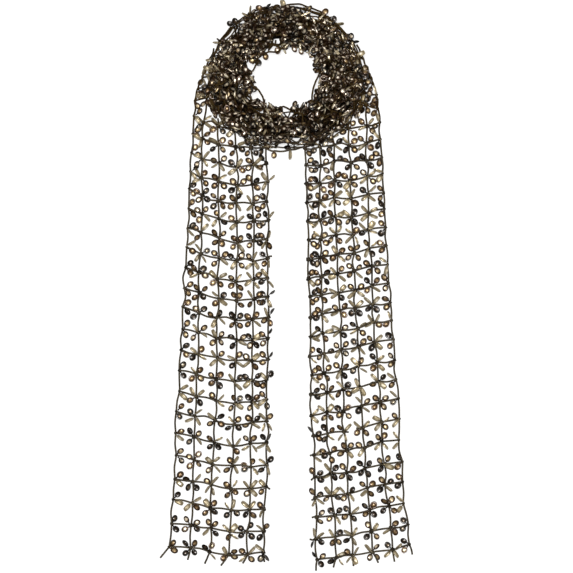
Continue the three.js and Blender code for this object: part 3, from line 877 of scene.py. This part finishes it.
def flare_net(net, tail):
    """The cords beside the ring: the outermost warp spreading down from it, the next one
    lying over its edge, and the cross cords that run in under it."""
    selvedge = []
    for above in FLARE_ABOVE:
        x, y = flare_place(tail, -above, inset=OUTER_CORD_INSET - tail["flare_rate"] * above)
        selvedge.append(Vector((x, y, height_over_ring(x, y) + 2 * CORD_RADIUS)))
    for below in FLARE_STEPS:
        if below < tail["flare_end"]:
            x, y = flare_place(tail, below)
            z = mix(FLARE_TOP, CORD_HEIGHT, smooth(0, FLARE_FALL, below))
            selvedge.append(Vector((x, y, z)))
    second = []
    for i, below in enumerate(reversed(tail["flare_cords"])):
        places = []
        for inset in (0.0, FLARE_CELL, 2 * FLARE_CELL):
            x, y = flare_place(tail, below, inset)
            z = max(height_over_ring(x, y) * 0.9, KNOT_HEIGHT)
            places.append(Vector((x + net.jitter(0.7), y + net.jitter(0.9), z)))
        net.tie(("flare", i, 0), places[0], FLARE_LUMP)
        net.tie(("flare", i, 1), places[1])
        second.append(places[1])
        net.run(places, SWAY, 2 * LIFT)
        toward = 180 if tail["side"] > 0 else 0
        for turn in (-60, 60):
            net.petal(places[0], toward + turn + net.jitter(14))
        for turn in FLARE_TURNS:
            net.petal(places[1], toward + turn + net.jitter(16))
    net.knots["selvedge"], net.knots["second"] = selvedge, second


def build_tail(name, tail, seed, materials):
    net = Net(f"{name}_tail", seed)
    ends = Net(f"{name}_end", seed + 1)
    last, first = tail["cells"], tail["first_row"]
    outer = tail["outer"]
    following = outer - tail["side"]
    for row in range(first, last + 1):
        for warp in range(WARPS):
            x, y = knot_place(tail, row, warp)
            loose = mix(*OUTER_LOOSE, smooth(*LOOSER_ROWS, row)) if warp == outer else LOOSE
            place = Vector((x + net.jitter(loose), y + net.jitter(LOOSE), KNOT_HEIGHT))
            lump = OUTER_LUMP if warp == outer else 1.0
            (ends if row == last else net).tie((row, warp), place, lump)
    net.knots.update(ends.knots)
    flare_net(net, tail)
    for warp in range(WARPS):
        down = [net.knots[(row, warp)] for row in range(first, last + 1)]
        if warp == outer:
            down = net.knots["selvedge"] + down
        elif warp == following:
            down = net.knots["second"] + down
        else:
            down = [down[0] + Vector((0, TUCK, 2.0))] + down
        net.run(down, SWAY, LIFT)
    broken = tail.get("broken_cord")
    for row in range(first, last):
        across = [net.knots[(row, warp)] for warp in range(WARPS)]
        if broken and row == broken["row"]:
            left, right = across[broken["warp"]], across[broken["warp"] + 1]
            half = broken["width"] / 2 / (right - left).length
            near, far = (left.lerp(right, broken["at"] + h) for h in (-half, half))
            near.y -= broken["drops"][0]
            far.y -= broken["drops"][1]
            net.run(across[:broken["warp"] + 1] + [near], SWAY, LIFT)
            net.run([far] + across[broken["warp"] + 1:], SWAY, LIFT)
        else:
            net.run(across, 1.0, 0.15)
    for row in tail["snags"]:
        root = net.knots[(row, WARPS - 1 - outer)]
        reach = Vector((tail["side"] * -net.random.uniform(4, 6.5), net.jitter(4), 0))
        net.run([root, root + reach], SWAY, 0.0)
    ends.run([ends.knots[(last, warp)] for warp in range(WARPS)], SWAY, LIFT)
    for warp in range(WARPS):
        root = ends.knots[(last, warp)]
        tip = root + Vector((*tail["warps"][warp][6:], 0.0))
        tip.z = CORD_HEIGHT
        ends.run([root, tip], 0.7, 0.0)
    for row in range(first, last):
        for warp in range(WARPS):
            tail_petals(net, tail, row, warp)
    for warp in range(WARPS):
        tail_petals(ends, tail, last, warp)

    made = net.pieces(materials)
    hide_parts(f"{name}_tail_net")
    fringe = ends.pieces(materials)
    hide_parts(f"{name}_tail_ends")
    across = [tail["warps"][warp][4] for warp in range(WARPS)]
    middle = [net.knots[(row, 2)] for row in range(first, last + 1)]
    length = sum((b - a).length for a, b in zip(middle, middle[1:])) * MM


# ---- the stretches of net on the ring ------------------------------------------------


def front_edge(degrees):
    """Where over the section the front wrap's outer edge is: out at the floor in front, and
    on top of the ring where it goes in under the shoulders."""
    left = smooth(FRONT_HIDES[0], FRONT_ENDS[0], degrees)
    right = smooth(FRONT_HIDES[1], FRONT_ENDS[1], degrees)
    return mix(FLOOR_EDGE, CREST, max(left, right))


def steady(around):
    """An edge that is at the same place over the section all round the ring."""
    return lambda degrees: around


def inside_outline(place, degrees):
    """Whether a place is far enough in from the ring's outer edge to leave its cords bare."""
    x, y = place.x - RING_X, place.y - RING_Y
    return math.hypot(x, y) < outer_radius(math.radians(degrees)) - OUTLINE_MARGIN


def is_bare(place):
    return any(math.hypot(place.x - x, place.y - y) < radius for x, y, radius in BARE_PLACES)


def ring_petals(net, place, way, degrees, share):
    """The sequins round a knot of the bunch. Some are crushed narrow by the layers over them,
    and the rest face any way. More rows of them are laid than one layer of the net has."""
    rng = net.random
    turn = rng.uniform(0, 360)
    for i in range(RING_PETALS):
        if rng.random() > share:
            continue
        heading = math.radians(turn + 360 / RING_PETALS * i + net.jitter(RING_WANDER))
        level = Vector((math.cos(heading), math.sin(heading), 0))
        out = (level - way * level.dot(way)).normalized() + way * rng.uniform(*RING_STAND)
        out.normalize()
        tip = place + out * (SEQUIN_REACH + SEQUIN_LENGTH / 2)
        if not inside_outline(tip, degrees):
            out = out - 2 * Vector((out.x, out.y, 0))
            tip = place + out * (SEQUIN_REACH + SEQUIN_LENGTH / 2)
        middle = place + out * SEQUIN_REACH
        if in_gap(tip, 0.0) or in_gap(middle, SEQUIN_WIDTH / 2) or is_bare(middle):
            continue
        root = place - way * rng.uniform(*RING_SINK)
        nod = math.radians(net.jitter(RING_NOD))
        # some are painted bright as glints of the lights
        tone = rng.uniform(*(GLINT_TONES if rng.random() < RING_GLINTING else PLAIN_TONES))
        if rng.random() < RING_CRUSHED:
            kind = rng.choice(("pale", "bronze", "bronze"))
            net.sequin(root, out, kind, math.radians(net.jitter(CRUSHED_TURN)), nod, tone,
                       rng.uniform(*CRUSHED_WIDTHS), CRUSHED_RIM_SHADE)
        else:
            kind = rng.choice(("black", "bronze", "bronze"))
            net.sequin(root, out, kind, math.radians(net.jitter(OPEN_TURN)), nod, tone,
                       rng.uniform(*OPEN_WIDTHS), rng.uniform(*OPEN_RIM_SHADES))


def ring_layer(net, layer, rows, warps, low, high, depth, petal_share, taut=0):
    """One layer of bunched net: 'rows' are angles round the ring, 'warps' are shares of the
    way over the section between the edges low and high, 'depth' how far under the surface.
    The first 'taut' warps run straight along the outline."""
    for i, degrees in enumerate(rows):
        for j, share in enumerate(warps):
            edge = j < max(taut, 1) or j == len(warps) - 1
            turn, over, sunk = EDGE_LOOSE if edge else RING_LOOSE
            here = degrees + net.jitter(turn)
            around = mix(low(degrees), high(degrees), share) + net.jitter(over)
            place, way = ring_surface(here, around)
            place -= way * (depth * (TAUT_DEPTH if j < taut else 1.0) + net.jitter(sunk))
            place.z = max(place.z, CORD_HEIGHT + 0.2)
            place = clear_of_gaps(place, KNOT_RADIUS)
            net.tie((layer, i, j), place, RING_LUMP)
            ring_petals(net, place, way, here, petal_share)
    for j in range(len(warps)):
        along = [net.knots[(layer, i, j)] for i in range(len(rows))]
        sway, natural = (TAUT_SWAY, 0.0) if j < taut else (RING_SWAY, CELL)
        net.run(along, sway, RING_LIFT / 2, natural, RING_CORD_RADIUS)
    for i in range(len(rows)):
        across = [net.knots[(layer, i, j)] for j in range(len(warps))]
        net.run(across, RING_SWAY, RING_LIFT, CELL, RING_CORD_RADIUS)


def spaced(start, stop, step):
    count = max(1, round(abs(stop - start) / step))
    return [mix(start, stop, i / count) for i in range(count + 1)]


def finish_stretch(net, node, materials):
    """Makes a stretch's pieces, and works out the cut of the net that shows in it, which it does
    not keep. The net is drawn fuller than that cut, as dense as the bunch looks."""
    made = net.pieces(materials)
    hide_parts(node)
    net.cloth_area()


def loose_cord(net, points):
    """A cord that hangs out of the bunch: its ends go in under the net."""
    net.run([Vector(p) for p in points], 0.2, 0.2)


def edge_petal(net, x, y, heading, kind, steep, height):
    """A sequin by itself, on a short thread that comes out of the bunch."""
    angle = math.radians(heading)
    way = Vector((math.cos(angle), math.sin(angle), 0.0))
    knot = Vector((x, y, height)) - way * SEQUIN_REACH
    net.run([knot - way * 5.0, knot], 0.0, 0.0)
    net.petal(knot, heading, kind, steep)


def front_wrap(materials):
    net = Net("front_wrap", 31)
    rows = spaced(*FRONT_ENDS, ROW_TURN)
    ring_layer(net, "top", rows, FRONT_WARPS, front_edge, steady(TOP_EDGE), TOP_DEPTH, TOP_SHARE)
    ring_layer(net, "under", [r + ROW_TURN / 2 for r in rows[:-1]], FRONT_UNDER_WARPS,
               front_edge, steady(UNDER_EDGE), UNDER_DEPTH, UNDER_SHARE)
    for points in FRONT_LOOPS:
        loose_cord(net, points)
    for petal in EDGE_PETALS:
        if petal[1] < RING_Y:
            edge_petal(net, *petal)
    finish_stretch(net, "front_wrap_net", materials)


def shoulder(name, seed, rows, materials):
    net = Net(f"{name}_shoulder", seed)

    def high(degrees):
        return front_edge(min(max(degrees % 360, FRONT_ENDS[0]), 360) if name == "left" else
                          min(degrees + 360, FRONT_ENDS[1])) - 4

    ring_layer(net, "top", rows, SHOULDER_WARPS, steady(FLOOR_EDGE), high, TOP_DEPTH,
               SHOULDER_SHARE, TAUT_WARPS)
    between = [(a + b) / 2 for a, b in zip(rows, rows[1:])]
    ring_layer(net, "under", between, SHOULDER_UNDER_WARPS, steady(2 * FLOOR_EDGE), high,
               UNDER_DEPTH, UNDER_SHARE)
    for degrees, heading, kind, steep in CROWN_PETALS:
        if degrees in rows:
            place = net.knots[("top", rows.index(degrees), 1)]
            inward = Vector((RING_X - place.x, RING_Y - place.y, 0.0)).normalized()
            knot = place + inward * CROWN_INSET + Vector((0, 0, KNOT_RADIUS))
            net.petal(knot, heading, kind, steep)
    finish_stretch(net, f"{name}_shoulder_net", materials)


def back_neck(materials):
    net = Net("back_neck", 43)
    start, stop = FRONT_ENDS[1] - 360, FRONT_ENDS[0]
    rows = spaced(start + 4, stop - 4, ROW_TURN)
    inner_edge = steady(CREST + 2)
    ring_layer(net, "top", rows, BACK_WARPS, inner_edge, steady(TOP_EDGE), TOP_DEPTH, TOP_SHARE)
    ring_layer(net, "under", [r + ROW_TURN / 2 for r in rows[:-1]], BACK_UNDER_WARPS,
               inner_edge, steady(UNDER_EDGE), UNDER_DEPTH, UNDER_SHARE)
    for points in BACK_LOOPS:
        loose_cord(net, points)
    for petal in EDGE_PETALS:
        if petal[1] > RING_Y:
            edge_petal(net, *petal)
    finish_stretch(net, "back_neck_net", materials)


def hidden_layers(materials):
    """The layers inside the ring, bunched into one mass: the solid's form, drawn in at its
    edges so that the outer cords hang clear of it, with the ridges of packed cords."""
    deselect()
    node = frame["nodes"]["hidden_layers"]
    obj = node.copy()
    obj.data = node.data.copy()
    obj.name = "hidden_layer_bundle"
    bpy.context.collection.objects.link(obj)
    obj.hide_render = False
    bpy.context.view_layer.objects.active = obj
    obj.select_set(True)
    bpy.ops.object.mode_set(mode="EDIT")
    bpy.ops.mesh.select_all(action="SELECT")
    bpy.ops.mesh.remove_doubles(threshold=0.01 * MM)
    bpy.ops.mesh.subdivide(number_cuts=3)
    bpy.ops.object.mode_set(mode="OBJECT")
    for v in obj.data.vertices:
        x, y = v.co.x / MM - RING_X, v.co.y / MM - RING_Y
        angle = math.atan2(y, x)
        inner, outer = inner_radius(angle), outer_radius(angle)
        share = (math.hypot(x, y) - inner) / (outer - inner)
        ridge = noise.noise(Vector((angle * RIDGE_TURNS, share * RIDGE_ROWS,
                                    v.co.z / MM / RIDGE_STEP)))
        radius = min(max(math.hypot(x, y), inner + BUNDLE_INSIDE + ridge * RIDGE_PUSH),
                     outer - BUNDLE_OUTSIDE + ridge * RIDGE_PUSH)
        height = v.co.z * BUNDLE_HEIGHT
        if v.co.z > 0.5 * MM:
            height += ridge * RIDGE_RISE * MM
        x, y = ring_place(math.degrees(angle), radius)
        v.co = Vector((x * MM, y * MM, max(height, 0.0)))
    # its near-black material is painted deep shade inside the bunch
    obj.data.materials.clear()
    obj.data.materials.append(materials["bunch"])
    obj.data.polygons.foreach_set("use_smooth", [True] * len(obj.data.polygons))
    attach(obj, "root")
    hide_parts("hidden_layers")


# ---- the scarf -----------------------------------------------------------------------

add_camera()
add_studio()
MATERIALS = make_materials()
SHAPES = {"knot": knot_shape()}
for kind, power in SEQUIN_POWERS:
    SHAPES[kind] = sequin_shape(power)

build_tail("left", LEFT_TAIL, 11, MATERIALS)
build_tail("right", RIGHT_TAIL, 23, MATERIALS)
front_wrap(MATERIALS)
shoulder("left", 37, LEFT_ROWS, MATERIALS)
shoulder("right", 41, RIGHT_ROWS, MATERIALS)
back_neck(MATERIALS)
hidden_layers(MATERIALS)
